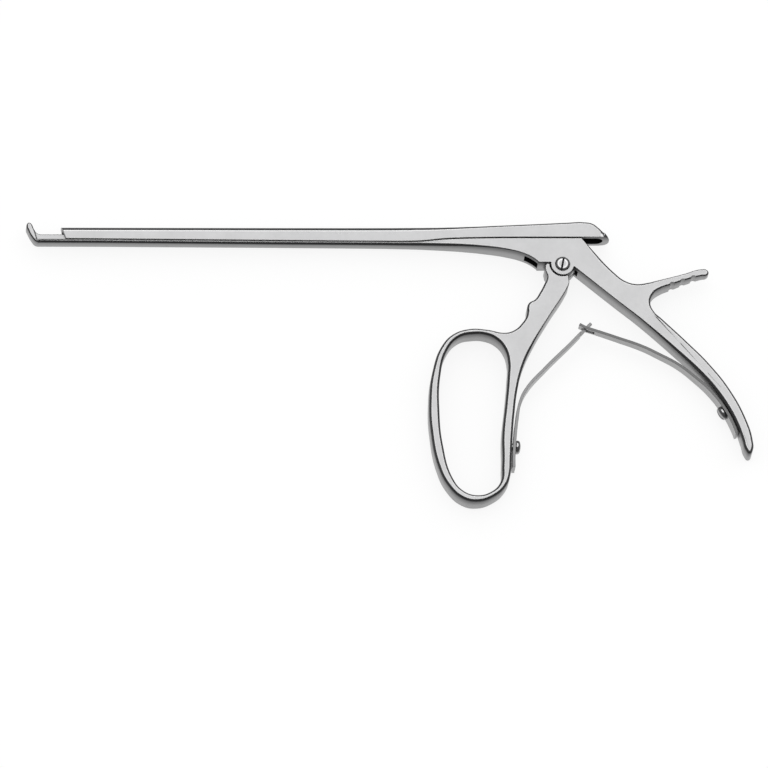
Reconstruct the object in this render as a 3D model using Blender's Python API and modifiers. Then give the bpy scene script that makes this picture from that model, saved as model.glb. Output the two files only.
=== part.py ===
# Laminectomy punch lying on its broad side, resting on z = 0.
# +X runs from the biting tip to the handles, +Y from the finger ring to the slide,
# +Z out of the upper broad side. The handles pivot about the line X = Y = 0.
# Lengths are metres, except the outline points, which are millimetres.

import math

import bmesh
import bpy
from mathutils import Vector

MM = 0.001

# Thickness across the broad sides
BODY_THICK = 0.009
SHAFT_WIDTH = 0.0057
RAIL_WIDTH = 0.0034
TONGUE_THICK = 0.004
TONGUE_GAP = 0.0003
BLADE_WIDTH = 0.0065
BLADE_THICK = 0.0011

# Shaft, slide and rail, heights above the pivot line
RAIL_TOP = 0.0134
GROOVE_WIDTH = 0.0040
GROOVE_ROOF = 0.0137
CUP_WIDTH = 0.0038
CUP_ROOF = 0.0152
CUP_END = -0.1845
GROOVE_END = -0.0034
RAIL_END = -0.0150

# Pivot, tongue and lever of the ring handle
EAR_RADIUS = 0.00465
SHOULDER_RADIUS = 0.00495
HUB_RADIUS = 0.0053
HUB_SLOT_RADIUS = 0.0066
SLOT_FRONT = -0.0145
SLOT_FLOOR_FRONT = -0.0095
SLOT_FLOOR = 0.0024
SLOT_REAR = 0.0065
BORE_RADIUS = 0.00185
LEVER_LENGTH = 0.0148
LEVER_HEAD_RADIUS = 0.0014
LEVER_NECK = 0.0022
LEVER_BASE = 0.0054
LEVER_LEAN = math.radians(21.8)
POCKET_WIDTH = 0.0033
POCKET_ROOF = 0.01635
CHANNEL_WIDTH = 0.0056
CHANNEL_ROOF = 0.0132
CHANNEL_FRONT = 0.0028
CHANNEL_REAR = 0.0164

# Pivot screw
SCREW_HEAD_RADIUS = 0.0027
SCREW_HEAD_BOTTOM = 0.0087
SCREW_HEAD_TOP = 0.0098
SCREW_SHANK_RADIUS = 0.00175
COUNTERBORE_RADIUS = 0.0029
COUNTERBORE_DEPTH = 0.0006
SCREW_SLOT = 0.0007
SCREW_SLOT_DEPTH = 0.0006
SCREW_SLOT_TURN = math.radians(78)

# Spring screws
PIN_HEAD_RADIUS = 0.0027
PIN_HEAD_HEIGHT = 0.0018
PIN_SHANK_RADIUS = 0.0014
PIN_BORE_RADIUS = 0.0017
PIN_DEPTH = 0.0016
BLADE_HOLE_RADIUS = 0.0019
SEAT_GAP = 0.0003
FRONT_SCREW_AT = (-22.20, -75.00)
FRONT_SCREW_OUT = (0.9965, -0.084)
REAR_SCREW_AT = (62.20, -59.90)
REAR_SCREW_OUT = (-0.863, -0.505)

# Finger grooves under the prong
PRONG_GROOVES = ((42.9, -8.55), (47.2, -6.85), (51.4, -5.45))
PRONG_GROOVE_RADIUS = 0.0012
PRONG_TAPER_START = 0.0350
PRONG_TAPER_END = 0.0590
PRONG_TAPER_DEPTH = 0.0025

# Edge rounding
WIDEST_EDGE = 0.0012
BODY_EDGE = 0.0003
RING_EDGE = 0.0010
SHAFT_EDGE = 0.0007
HANDLE_END_EDGE = 0.0010
SLIDE_EDGE = 0.0008

# Spring ends: the front blade's narrow end passes through the rear blade's slot
FRONT_TONGUE_WIDTH = 0.0015
FRONT_TONGUE_START = 0.0063
REAR_SLOT_WIDTH = 0.0020
REAR_SLOT_START = 0.0069
REAR_SLOT_END = 0.0118
FRONT_BEND_AT = (-0.02105, -0.0750, 0)
REAR_BEND_AT = (0.0614, -0.0604, 0)

FLAT = math.radians(0.4)
SMOOTH = math.radians(35)
WELD = 0.000005
REACH = 0.03

# Frame seen from the upper side, clockwise from the tip of the footplate.
# Points marked s are smooth, the others are corners.
FOOTPLATE = (
    (-208.5, 17.1, "s"), (-207.7, 18.1, "s"), (-206.8, 17.8, "s"),
    (-205.75, 15.6, "s"), (-204.4, 11.1),
)
FRAME_REAR = (
    (-62.0, 10.0), (-54.0, 10.2, "s"), (-46.0, 10.9, "s"), (-38.0, 11.1), (7.9, 11.1),
    (10.6, 7.75, "s"), (20.6, -3.8, "s"), (24.0, -6.6, "s"), (28.1, -8.0, "s"), (32.5, -7.7, "s"),
    (39.8, -5.85, "s"), (47.3, -3.55, "s"), (54.6, -1.2, "s"),
)
PRONG = (
    (56.4, -1.3, "s"), (57.3, -2.5, "s"), (56.5, -3.8, "s"), (54.6, -4.1, "s"),
    (47.2, -6.4, "s"), (42.2, -8.3, "s"), (38.2, -9.9, "s"), (35.2, -12.2, "s"),
    (33.8, -15.9, "s"), (34.9, -19.4, "s"),
)
REAR_HANDLE = (
    (38.2, -22.8, "s"), (48.1, -33.0, "s"), (55.5, -41.2, "s"), (63.4, -52.3, "s"),
    (69.5, -65.3, "s"), (71.55, -73.5, "s"), (71.5, -77.4, "s"), (70.1, -79.3, "s"),
    (68.5, -77.6, "s"), (67.4, -73.4, "s"), (65.4, -66.9, "s"), (62.2, -59.9, "s"),
    (57.1, -51.7, "s"), (51.8, -45.2, "s"), (43.9, -37.0, "s"), (28.7, -22.2, "s"),
    (20.8, -15.4, "s"),
)
UNDERSIDE = (
    (-4.6, 0.65), (-9.5, 0.65), (-9.6, 1.1), (-11.5, 2.6, "s"), (-14.7, 4.3, "s"),
    (-20.6, 6.0, "s"), (-31.0, 7.4, "s"), (-51.0, 8.4, "s"), (-70.0, 8.8), (-182.0, 9.7),
    (-204.2, 9.75), (-205.4, 10.4, "s"), (-206.6, 12.0, "s"), (-207.8, 14.4, "s"),
)

# Plan of the shaft: place along X and how far it lies inside the full thickness on each side
PLAN = ((-60.0, 1.65, "s"), (-49.0, 1.25, "s"), (-37.0, 0.65, "s"), (-25.0, 0.15, "s"), (-14.0, 0.0))

SLIDE = (
    (-195.0, 16.2), (-60.0, 16.15), (-43.0, 15.95, "s"), (-30.0, 16.1, "s"), (-12.0, 16.75, "s"),
    (2.0, 17.45, "s"), (8.5, 17.75, "s"), (12.5, 17.0, "s"), (14.9, 15.35), (18.9, 11.4),
    (-38.0, 11.4), (-46.0, 11.2, "s"), (-54.0, 10.5, "s"), (-62.0, 10.3), (-193.3, 11.4),
)

RAIL_FILLET = ((-203.0, 13.4), (-204.1, 13.65), (-204.9, 14.3), (-205.6, 15.6), (-206.9, 15.6),
               (-204.9, 11.4), (-204.0, 10.3))

# Ring handle from the left end of its shoulder round the finger ring to the back edge
RING_FRONT = (
    (-5.0, 0.35), (-6.2, 0.3), (-6.75, -0.6, "s"), (-6.7, -2.9, "s"), (-6.1, -4.9, "s"),
    (-7.5, -8.4, "s"), (-9.2, -11.6, "s"), (-11.2, -14.6, "s"), (-13.6, -16.1, "s"),
    (-14.4, -17.8, "s"), (-14.5, -20.0, "s"), (-15.2, -22.4, "s"), (-16.6, -24.5, "s"),
    (-19.3, -27.2, "s"), (-23.0, -28.55, "s"),
)
RING_OUTER = (
    (-30.5, -27.3, "s"), (-37.0, -27.0, "s"), (-43.6, -29.2, "s"), (-48.2, -34.0, "s"),
    (-52.1, -44.2, "s"), (-54.0, -58.0, "s"), (-53.8, -70.0, "s"), (-51.5, -84.2, "s"),
    (-47.8, -92.6, "s"), (-42.5, -97.9, "s"), (-36.8, -99.3, "s"), (-30.0, -97.1, "s"),
    (-25.2, -92.6, "s"), (-23.3, -87.5, "s"),
)
RING_BACK = (
    (-22.7, -81.0, "s"), (-22.0, -72.0, "s"), (-20.9, -62.0, "s"), (-19.5, -52.8, "s"),
    (-16.9, -42.9, "s"), (-12.0, -32.2, "s"), (-5.8, -21.6, "s"), (1.2, -10.5, "s"),
    (2.35, -7.8, "s"), (2.2, -5.6),
)
RING_HOLE = (
    (-36.0, -29.3, "s"), (-41.5, -30.7, "s"), (-46.2, -36.0, "s"), (-49.3, -47.0, "s"),
    (-50.1, -62.0, "s"), (-49.2, -75.5, "s"), (-46.0, -89.8, "s"), (-42.3, -95.0, "s"),
    (-36.8, -97.0, "s"), (-31.2, -95.7, "s"), (-27.4, -91.6, "s"), (-26.5, -84.0, "s"),
    (-26.1, -71.0, "s"), (-24.4, -58.0, "s"), (-23.5, -47.5, "s"), (-22.1, -40.5, "s"),
    (-23.2, -35.0, "s"), (-26.5, -31.3, "s"), (-31.0, -29.5, "s"),
)

# Spring blades from root to tip: x, y and share of the full width
FRONT_BLADE = (
    (-21.82, -84.5, 1.0), (-21.70, -80.5, 1.0), (-21.05, -73.0, 1.0), (-20.0, -65.0, 0.96),
    (-18.4, -57.0, 0.88), (-16.0, -51.9, 0.80), (-8.0, -42.6, 0.66), (2.6, -31.9, 0.58),
    (8.5, -25.6, 0.52), (10.6, -23.4, 0.50),
)
REAR_BLADE = (
    (65.5, -70.25, 1.0), (64.5, -67.2, 1.0), (61.4, -60.4, 1.0), (56.2, -52.7, 0.90),
    (50.0, -46.4, 0.78), (43.7, -41.1, 0.72), (36.7, -37.0, 0.68), (30.4, -33.7, 0.65),
    (20.8, -30.0, 0.60), (11.1, -26.5, 0.56), (8.5, -25.6, 0.56), (6.0, -24.2, 0.56),
)

for old in list(bpy.data.objects):
    bpy.data.objects.remove(old)


def new_collection(name):
    """Add a collection under the scene."""
    made = bpy.data.collections.new(name)
    bpy.context.scene.collection.children.link(made)
    return made


PUNCH = new_collection("laminectomy_punch")
CUTTERS = new_collection("cutters")


def new_material(name, color, roughness):
    """Metal with one colour and roughness."""
    made = bpy.data.materials.new(name)
    made.use_nodes = True
    shader = made.node_tree.nodes["Principled BSDF"]
    shader.inputs["Base Color"].default_value = (*color, 1.0)
    shader.inputs["Metallic"].default_value = 1.0
    shader.inputs["Roughness"].default_value = roughness
    made.diffuse_color = (*color, 1.0)
    return made


def add_object(name, data, home):
    """Link a new object into a collection; cutters stay hidden in renders."""
    made = bpy.data.objects.new(name, data)
    home.objects.link(made)
    if home == CUTTERS:
        made.hide_render = True
        made.display_type = "WIRE"
    return made


def clean_mesh(source, name, home):
    """Turn an object's evaluated shape into a welded mesh object and drop the source."""
    bpy.context.view_layer.update()
    graph = bpy.context.evaluated_depsgraph_get()
    mesh = bpy.data.meshes.new_from_object(source.evaluated_get(graph))
    shape = bmesh.new()
    shape.from_mesh(mesh)
    bmesh.ops.remove_doubles(shape, verts=shape.verts, dist=WELD)
    bmesh.ops.dissolve_limit(shape, angle_limit=FLAT, verts=shape.verts, edges=shape.edges)
    bmesh.ops.recalc_face_normals(shape, faces=shape.faces)
    shape.to_mesh(mesh)
    shape.free()
    place = source.matrix_world.copy()
    bpy.data.objects.remove(source)
    made = add_object(name, mesh, home)
    made.matrix_world = place
    return made


def fill_spline(curve, points):
    """Add a closed outline; points marked s are smooth."""
    spline = curve.splines.new("BEZIER")
    spline.bezier_points.add(len(points) - 1)
    spline.use_cyclic_u = True
    spline.resolution_u = 5
    for knot, point in zip(spline.bezier_points, points):
        knot.co = (point[0] * MM, point[1] * MM, 0)
        kind = "AUTO" if len(point) > 2 else "VECTOR"
        knot.handle_left_type = kind
        knot.handle_right_type = kind


def plate(name, outlines, low, high, home):
    """Closed outlines in the XY plane made solid between two heights."""
    curve = bpy.data.curves.new(name, "CURVE")
    curve.dimensions = "2D"
    curve.fill_mode = "BOTH"
    curve.extrude = (high - low) / 2
    for points in outlines:
        fill_spline(curve, points)
    drawn = bpy.data.objects.new(name, curve)
    home.objects.link(drawn)
    drawn.location.z = (high + low) / 2
    return clean_mesh(drawn, name, home)


def arc(radius, start, end, steps):
    """Points in millimetres along an arc about the pivot, angles in degrees."""
    points = []
    for step in range(steps + 1):
        angle = math.radians(start + (end - start) * step / steps)
        points.append((radius / MM * math.cos(angle), radius / MM * math.sin(angle)))
    return tuple(points)


def box(name, low, high):
    """Box between two corners, for cutting or joining."""
    mesh = bpy.data.meshes.new(name)
    shape = bmesh.new()
    bmesh.ops.create_cube(shape, size=1)
    for vert in shape.verts:
        vert.co = [low[i] + (vert.co[i] + 0.5) * (high[i] - low[i]) for i in range(3)]
    shape.to_mesh(mesh)
    shape.free()
    return add_object(name, mesh, CUTTERS)


def rod(name, radius, start, end, steps=24):
    """Cylinder between two points, for cutting or joining."""
    start = Vector(start)
    end = Vector(end)
    mesh = bpy.data.meshes.new(name)
    shape = bmesh.new()
    bmesh.ops.create_cone(
        shape, cap_ends=True, segments=steps, radius1=radius, radius2=radius,
        depth=(end - start).length)
    shape.to_mesh(mesh)
    shape.free()
    made = add_object(name, mesh, CUTTERS)
    made.location = (start + end) / 2
    made.rotation_euler = (end - start).to_track_quat("Z", "Y").to_euler()
    return made


def combine(target, other, operation):
    """Exact Boolean between two objects; the second one waits among the cutters."""
    step = target.modifiers.new(operation.lower() + "_" + other.name, "BOOLEAN")
    step.object = other
    step.operation = operation
    step.solver = "EXACT"
    return step


def round_edges(target, width_at, segments=3):
    """Round the sharp edges made so far, each by the width that its place asks for."""
    shape = bmesh.new()
    shape.from_mesh(target.data)
    weight = shape.edges.layers.float.new("bevel_weight_edge")
    for edge in shape.edges:
        run = edge.verts[1].co - edge.verts[0].co
        upright = abs(run.z) > 0.8 * run.length
        if edge.is_manifold and not upright and edge.calc_face_angle() > SMOOTH:
            middle = (edge.verts[0].co + edge.verts[1].co) / 2
            edge[weight] = width_at(middle) / WIDEST_EDGE
    shape.to_mesh(target.data)
    shape.free()
    step = target.modifiers.new("rounded_edges", "BEVEL")
    step.width = WIDEST_EDGE
    step.segments = segments
    step.limit_method = "WEIGHT"
    step.use_clamp_overlap = False
    return step


def ramp(value, start, end):
    """Share from 0 to 1 of the way between two places, eased at both ends."""
    share = min(max((value - start) / (end - start), 0), 1)
    return share * share * (3 - 2 * share)


def frame_edge(spot):
    """Edge rounding of the frame: wider on the shaft's underside and the handle's end."""
    width = BODY_EDGE
    if spot.x < -0.014:
        low = spot.y < 0.0105 and spot.x > -0.204
        width += (SHAFT_EDGE - BODY_EDGE) * ramp(spot.x, -0.014, -0.060) * low
    if spot.y < -0.020:
        width += (RING_EDGE - BODY_EDGE) * ramp(spot.y, -0.020, -0.055)
        width += (HANDLE_END_EDGE - RING_EDGE) * ramp(spot.y, -0.060, -0.078)
    return width


def slide_edge(spot):
    """Edge rounding of the slide: none along the seam and the cutting edge."""
    if spot.y < 0.0135 or spot.x < -0.193:
        return 0
    return SLIDE_EDGE * (1 - 0.5 * ramp(spot.x, -0.060, 0.0))


def ring_edge(spot):
    """Edge rounding of the ring handle: wide round the finger ring."""
    return BODY_EDGE + (RING_EDGE - BODY_EDGE) * ramp(spot.y, -0.022, -0.040)


def finish(target, surface, origin=(0, 0, 0)):
    """Give a piece its material, its shading and its origin."""
    target.data.materials.clear()
    target.data.materials.append(surface)
    shift = Vector(origin) - target.location
    for vert in target.data.vertices:
        vert.co -= shift
    target.location = origin
    target.data.shade_smooth()
    target.data.set_sharp_from_angle(angle=SMOOTH)


def plan_solid(name, front, rear_points, home):
    """Shaft plan in the XZ plane, tall enough to trim a side outline."""
    middle = BODY_THICK / 2 / MM
    side = (SHAFT_WIDTH - BODY_THICK) / 2 / MM
    lower = [(front, -side)]
    upper = [(front, 2 * middle + side)]
    for point in PLAN:
        lower.append(point)
        upper.append((point[0], 2 * middle - point[1], *point[2:]))
    outline = tuple(lower) + tuple(rear_points) + tuple(reversed(upper))
    made = plate(name, (outline,), -REACH * 4, REACH * 4, home)
    made.rotation_euler = (math.radians(90), 0, 0)
    return made


def turned(name, profile, steps, home):
    """Solid turned about Z from a half profile that runs from top to bottom."""
    mesh = bpy.data.meshes.new(name)
    edges = [(i, i + 1) for i in range(len(profile) - 1)]
    mesh.from_pydata([(x, 0, z) for x, z in profile], edges, [])
    made = add_object(name, mesh, home)
    turn = made.modifiers.new("turned", "SCREW")
    turn.axis = "Z"
    turn.steps = steps
    turn.render_steps = steps
    turn.use_merge_vertices = True
    turn.merge_threshold = 0.00001
    return made


BODY_STEEL = new_material("satin_steel", (0.72, 0.72, 0.73), 0.28)
SLIDE_STEEL = new_material("slide_steel", (0.74, 0.74, 0.75), 0.25)
RING_STEEL = new_material("ring_steel", (0.72, 0.72, 0.73), 0.28)
SCREW_STEEL = new_material("polished_steel", (0.78, 0.78, 0.79), 0.15)
SPRING_STEEL = new_material("spring_steel", (0.66, 0.66, 0.67), 0.30)
PIN_STEEL = new_material("pin_steel", (0.70, 0.70, 0.71), 0.18)
REAR_SPRING_STEEL = new_material("rear_spring_steel", (0.66, 0.66, 0.67), 0.30)
REAR_PIN_STEEL = new_material("rear_pin_steel", (0.70, 0.70, 0.71), 0.18)

MIDDLE = BODY_THICK / 2


def prong_taper(side):
    """Wedge that thins the prong towards its tip on one broad side."""
    way = 1 if side == 0 else -1
    start = PRONG_TAPER_START / MM
    end = PRONG_TAPER_END / MM
    height = side / MM
    outline = ((start, height - way * 2), (start, height), (end, height + way * PRONG_TAPER_DEPTH / MM),
               (end, height - way * 2))
    wedge = plate("prong_taper_" + ("low" if side == 0 else "high"), (outline,), -0.010, 0.015,
                  CUTTERS)
    wedge.rotation_euler = (math.radians(90), 0, 0)
    wedge.location = (0, -0.0025, 0)
    return wedge


def build_frame():
    """Shaft, footplate, rail, ear, rear handle and prong in one piece."""
    ear = arc(EAR_RADIUS, -15.2, -180, 12)
    outline = FOOTPLATE + FRAME_REAR + PRONG + REAR_HANDLE + ear + UNDERSIDE
    frame = plate("frame", (outline,), -MM, BODY_THICK + MM, PUNCH)
    rear = ((85, 0), (85, BODY_THICK / MM))
    combine(frame, plan_solid("frame_plan", -220, rear, CUTTERS), "INTERSECT")
    for side in (0, BODY_THICK):
        combine(frame, prong_taper(side), "DIFFERENCE")
    frame = clean_mesh(frame, "frame", PUNCH)
    round_edges(frame, frame_edge)
    start = (RAIL_END / MM, 9.2)
    top = (RAIL_END / MM, RAIL_TOP / MM)
    rail = plate("rail", ((start, top) + RAIL_FILLET,),
                 MIDDLE - RAIL_WIDTH / 2, MIDDLE + RAIL_WIDTH / 2, CUTTERS)
    combine(frame, rail, "UNION")
    half_slot = TONGUE_THICK / 2 + TONGUE_GAP
    mouth = box("slot_mouth", (SLOT_FRONT, -0.002, MIDDLE - half_slot),
                (SLOT_FLOOR_FRONT, 0.020, MIDDLE + half_slot))
    combine(frame, mouth, "DIFFERENCE")
    slot = box("tongue_slot", (SLOT_FLOOR_FRONT - MM, SLOT_FLOOR, MIDDLE - half_slot),
               (SLOT_REAR, 0.020, MIDDLE + half_slot))
    combine(frame, slot, "DIFFERENCE")
    hub_slot = rod("hub_slot", HUB_SLOT_RADIUS, (0, 0, MIDDLE - half_slot),
                   (0, 0, MIDDLE + half_slot), 40)
    combine(frame, hub_slot, "DIFFERENCE")
    bore = rod("frame_bore", BORE_RADIUS, (0, 0, -MM), (0, 0, BODY_THICK + MM))
    combine(frame, bore, "DIFFERENCE")
    sunk = rod("counterbore", COUNTERBORE_RADIUS, (0, 0, BODY_THICK - COUNTERBORE_DEPTH),
               (0, 0, BODY_THICK + MM), 32)
    combine(frame, sunk, "DIFFERENCE")
    for index, (x, y) in enumerate(PRONG_GROOVES):
        groove = rod("prong_groove_" + str(index + 1), PRONG_GROOVE_RADIUS,
                     (x * MM, y * MM, -MM), (x * MM, y * MM, BODY_THICK + MM), 20)
        combine(frame, groove, "DIFFERENCE")
    combine(frame, pin_bore("rear_pin_bore", REAR_SCREW_AT, REAR_SCREW_OUT), "DIFFERENCE")
    finish(frame, BODY_STEEL)
    return frame


def pin_bore(name, at, out):
    """Blind hole for a spring screw, square to the handle's edge."""
    spot = Vector((at[0] * MM, at[1] * MM, MIDDLE))
    way = Vector((out[0], out[1], 0)).normalized()
    return rod(name, PIN_BORE_RADIUS, spot - way * (PIN_DEPTH + SEAT_GAP), spot + way * 0.003)


def build_slide():
    """Upper sliding bar with its groove, tip cup, lever pocket and rear channel."""
    slide = plate("slide", (SLIDE,), -MM, BODY_THICK + MM, PUNCH)
    rear = ((13.2, 0.0), (16.4, 0.8, "s"), (18.4, 2.6, "s"), (19.0, 4.5, "s"),
            (18.4, 6.4, "s"), (16.4, 8.2, "s"), (13.2, 9.0))
    combine(slide, plan_solid("slide_plan", -220, rear, CUTTERS), "INTERSECT")
    slide = clean_mesh(slide, "slide", PUNCH)
    round_edges(slide, slide_edge)
    groove = box("slide_groove", (-0.220, 0, MIDDLE - GROOVE_WIDTH / 2),
                 (GROOVE_END, GROOVE_ROOF, MIDDLE + GROOVE_WIDTH / 2))
    combine(slide, groove, "DIFFERENCE")
    cup = box("tip_cup", (-0.220, 0, MIDDLE - CUP_WIDTH / 2),
              (CUP_END, CUP_ROOF, MIDDLE + CUP_WIDTH / 2))
    combine(slide, cup, "DIFFERENCE")
    head_x = LEVER_LENGTH * math.sin(LEVER_LEAN)
    half_slot = TONGUE_THICK / 2 + TONGUE_GAP
    pocket = box("lever_pocket", (head_x - POCKET_WIDTH / 2, 0.010, MIDDLE - half_slot),
                 (head_x + POCKET_WIDTH / 2, POCKET_ROOF, MIDDLE + half_slot))
    combine(slide, pocket, "DIFFERENCE")
    radius = CHANNEL_WIDTH / 2 / MM
    outline = [(CHANNEL_FRONT / MM, MIDDLE / MM - radius)]
    for step in range(13):
        turn = math.radians(-90 + 15 * step)
        outline.append((CHANNEL_REAR / MM - radius + radius * math.cos(turn),
                        MIDDLE / MM + radius * math.sin(turn)))
    outline.append((CHANNEL_FRONT / MM, MIDDLE / MM + radius))
    channel = plate("rear_channel", (outline,), 0, CHANNEL_ROOF, CUTTERS)
    channel.rotation_euler = (math.radians(90), 0, 0)
    channel.location = (0, CHANNEL_ROOF / 2, 0)
    combine(slide, channel, "DIFFERENCE")
    finish(slide, SLIDE_STEEL)
    return slide


def build_ring_handle():
    """Finger ring, neck and shoulder with the thinner tongue and lever inside the frame."""
    shoulder = arc(SHOULDER_RADIUS, -63.5, -176, 9)
    outline = RING_FRONT + RING_OUTER + RING_BACK + shoulder
    handle = plate("ring_handle", (outline, RING_HOLE), 0, BODY_THICK, PUNCH)
    round_edges(handle, ring_edge)
    low = MIDDLE - TONGUE_THICK / 2
    high = MIDDLE + TONGUE_THICK / 2
    tongue = rod("hub", HUB_RADIUS, (0, 0, low), (0, 0, high), 40)
    combine(handle, tongue, "UNION")
    along = Vector((math.sin(LEVER_LEAN), math.cos(LEVER_LEAN)))
    across = Vector((along.y, -along.x))
    tip = along * LEVER_LENGTH / MM
    base = along * 1.5
    corners = (base - across * LEVER_BASE / MM / 2, tip - across * LEVER_NECK / MM / 2,
               tip + across * LEVER_NECK / MM / 2, base + across * LEVER_BASE / MM / 2)
    lever = plate("lever", (tuple((c.x, c.y) for c in corners),), low, high, CUTTERS)
    combine(handle, lever, "UNION")
    head = rod("lever_head", LEVER_HEAD_RADIUS, (tip.x * MM, tip.y * MM, low),
               (tip.x * MM, tip.y * MM, high), 20)
    combine(handle, head, "UNION")
    bore = rod("handle_bore", BORE_RADIUS, (0, 0, -MM), (0, 0, BODY_THICK + MM))
    combine(handle, bore, "DIFFERENCE")
    combine(handle, pin_bore("front_pin_bore", FRONT_SCREW_AT, FRONT_SCREW_OUT), "DIFFERENCE")
    finish(handle, RING_STEEL)
    return handle


def build_pivot_screw():
    """Low domed screw through both cheeks, ending flush with the lower side."""
    radius = SCREW_HEAD_RADIUS
    rise = SCREW_HEAD_TOP - SCREW_HEAD_BOTTOM
    profile = (
        (0, SCREW_HEAD_TOP), (radius * 0.4, SCREW_HEAD_TOP - rise * 0.06),
        (radius * 0.7, SCREW_HEAD_TOP - rise * 0.2), (radius * 0.9, SCREW_HEAD_TOP - rise * 0.42),
        (radius, SCREW_HEAD_TOP - rise * 0.68), (radius, SCREW_HEAD_BOTTOM),
        (SCREW_SHANK_RADIUS, SCREW_HEAD_BOTTOM), (SCREW_SHANK_RADIUS, 0), (0, 0),
    )
    screw = turned("pivot_screw", profile, 32, PUNCH)
    slot = box("pivot_screw_slot", (-0.004, -SCREW_SLOT / 2, SCREW_HEAD_TOP - SCREW_SLOT_DEPTH),
               (0.004, SCREW_SLOT / 2, SCREW_HEAD_TOP + MM))
    slot.rotation_euler.z = SCREW_SLOT_TURN
    combine(screw, slot, "DIFFERENCE")
    finish(screw, SCREW_STEEL)
    return screw


def build_pin(name, at, out, surface):
    """Round headed screw that clamps a spring blade to a handle."""
    radius = PIN_HEAD_RADIUS
    seat = SEAT_GAP + BLADE_THICK + SEAT_GAP
    top = seat + PIN_HEAD_HEIGHT
    profile = (
        (0, top), (radius * 0.45, top - PIN_HEAD_HEIGHT * 0.08),
        (radius * 0.78, top - PIN_HEAD_HEIGHT * 0.3), (radius * 0.96, top - PIN_HEAD_HEIGHT * 0.6),
        (radius, seat + PIN_HEAD_HEIGHT * 0.12), (radius * 0.95, seat),
        (PIN_SHANK_RADIUS, seat), (PIN_SHANK_RADIUS, -PIN_DEPTH), (0, -PIN_DEPTH),
    )
    pin = turned(name, profile, 28, PUNCH)
    finish(pin, surface)
    pin.location = (at[0] * MM, at[1] * MM, MIDDLE)
    way = Vector((out[0], out[1], 0))
    pin.rotation_euler = way.to_track_quat("Z", "Y").to_euler()
    slot = box(name + "_slot", (-0.004, -SCREW_SLOT / 2, top - SCREW_SLOT_DEPTH),
               (0.004, SCREW_SLOT / 2, top + MM))
    slot.location = pin.location
    slot.rotation_euler = pin.rotation_euler
    combine(pin, slot, "DIFFERENCE")
    return pin


def build_blade(name, path):
    """Leaf spring drawn as a ribbon along its side view, then thickened."""
    curve = bpy.data.curves.new(name, "CURVE")
    curve.dimensions = "2D"
    curve.fill_mode = "NONE"
    curve.extrude = BLADE_WIDTH / 2
    spline = curve.splines.new("BEZIER")
    spline.bezier_points.add(len(path) - 1)
    spline.resolution_u = 5
    for knot, point in zip(spline.bezier_points, path):
        knot.co = (point[0] * MM, point[1] * MM, 0)
        knot.handle_left_type = "AUTO"
        knot.handle_right_type = "AUTO"
        knot.radius = point[2]
    drawn = bpy.data.objects.new(name, curve)
    PUNCH.objects.link(drawn)
    drawn.location.z = MIDDLE
    blade = clean_mesh(drawn, name, PUNCH)
    thick = blade.modifiers.new("thickness", "SOLIDIFY")
    thick.thickness = BLADE_THICK
    thick.offset = 0
    thick.use_even_offset = True
    return blade


def blade_hole(name, at, out):
    """Clearance hole for a spring screw."""
    spot = Vector((at[0] * MM, at[1] * MM, MIDDLE))
    way = Vector((out[0], out[1], 0)).normalized()
    return rod(name, BLADE_HOLE_RADIUS, spot, spot + way * 0.004)


def build_front_spring():
    """Blade on the ring handle; its narrow end runs through the other blade's slot."""
    blade = build_blade("front_spring", FRONT_BLADE)
    combine(blade, blade_hole("front_spring_hole", FRONT_SCREW_AT, FRONT_SCREW_OUT), "DIFFERENCE")
    for index, side in enumerate((-1, 1)):
        inner = MIDDLE + side * FRONT_TONGUE_WIDTH / 2
        outer = MIDDLE + side * BLADE_WIDTH
        trim = box("front_spring_trim_" + str(index + 1),
                   (FRONT_TONGUE_START, -REACH, min(inner, outer)), (REACH, 0, max(inner, outer)))
        combine(blade, trim, "DIFFERENCE")
    finish(blade, SPRING_STEEL, FRONT_BEND_AT)
    return blade


def build_rear_spring():
    """Blade on the rear handle with a long slot near its end."""
    blade = build_blade("rear_spring", REAR_BLADE)
    combine(blade, blade_hole("rear_spring_hole", REAR_SCREW_AT, REAR_SCREW_OUT), "DIFFERENCE")
    slot = box("rear_spring_slot", (REAR_SLOT_START, -REACH, MIDDLE - REAR_SLOT_WIDTH / 2),
               (REAR_SLOT_END, 0, MIDDLE + REAR_SLOT_WIDTH / 2))
    combine(blade, slot, "DIFFERENCE")
    finish(blade, REAR_SPRING_STEEL, REAR_BEND_AT)
    return blade


build_frame()
build_slide()
build_ring_handle()
build_pivot_screw()
build_front_spring()
build_rear_spring()
build_pin("front_spring_screw", FRONT_SCREW_AT, FRONT_SCREW_OUT, PIN_STEEL)
build_pin("rear_spring_screw", REAR_SCREW_AT, REAR_SCREW_OUT, REAR_PIN_STEEL)
bpy.context.view_layer.update()
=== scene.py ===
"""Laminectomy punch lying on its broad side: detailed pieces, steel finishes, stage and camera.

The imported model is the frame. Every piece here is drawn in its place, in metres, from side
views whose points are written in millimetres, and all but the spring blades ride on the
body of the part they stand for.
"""

import math

import bmesh
import bpy
from mathutils import Matrix, Vector


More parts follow.
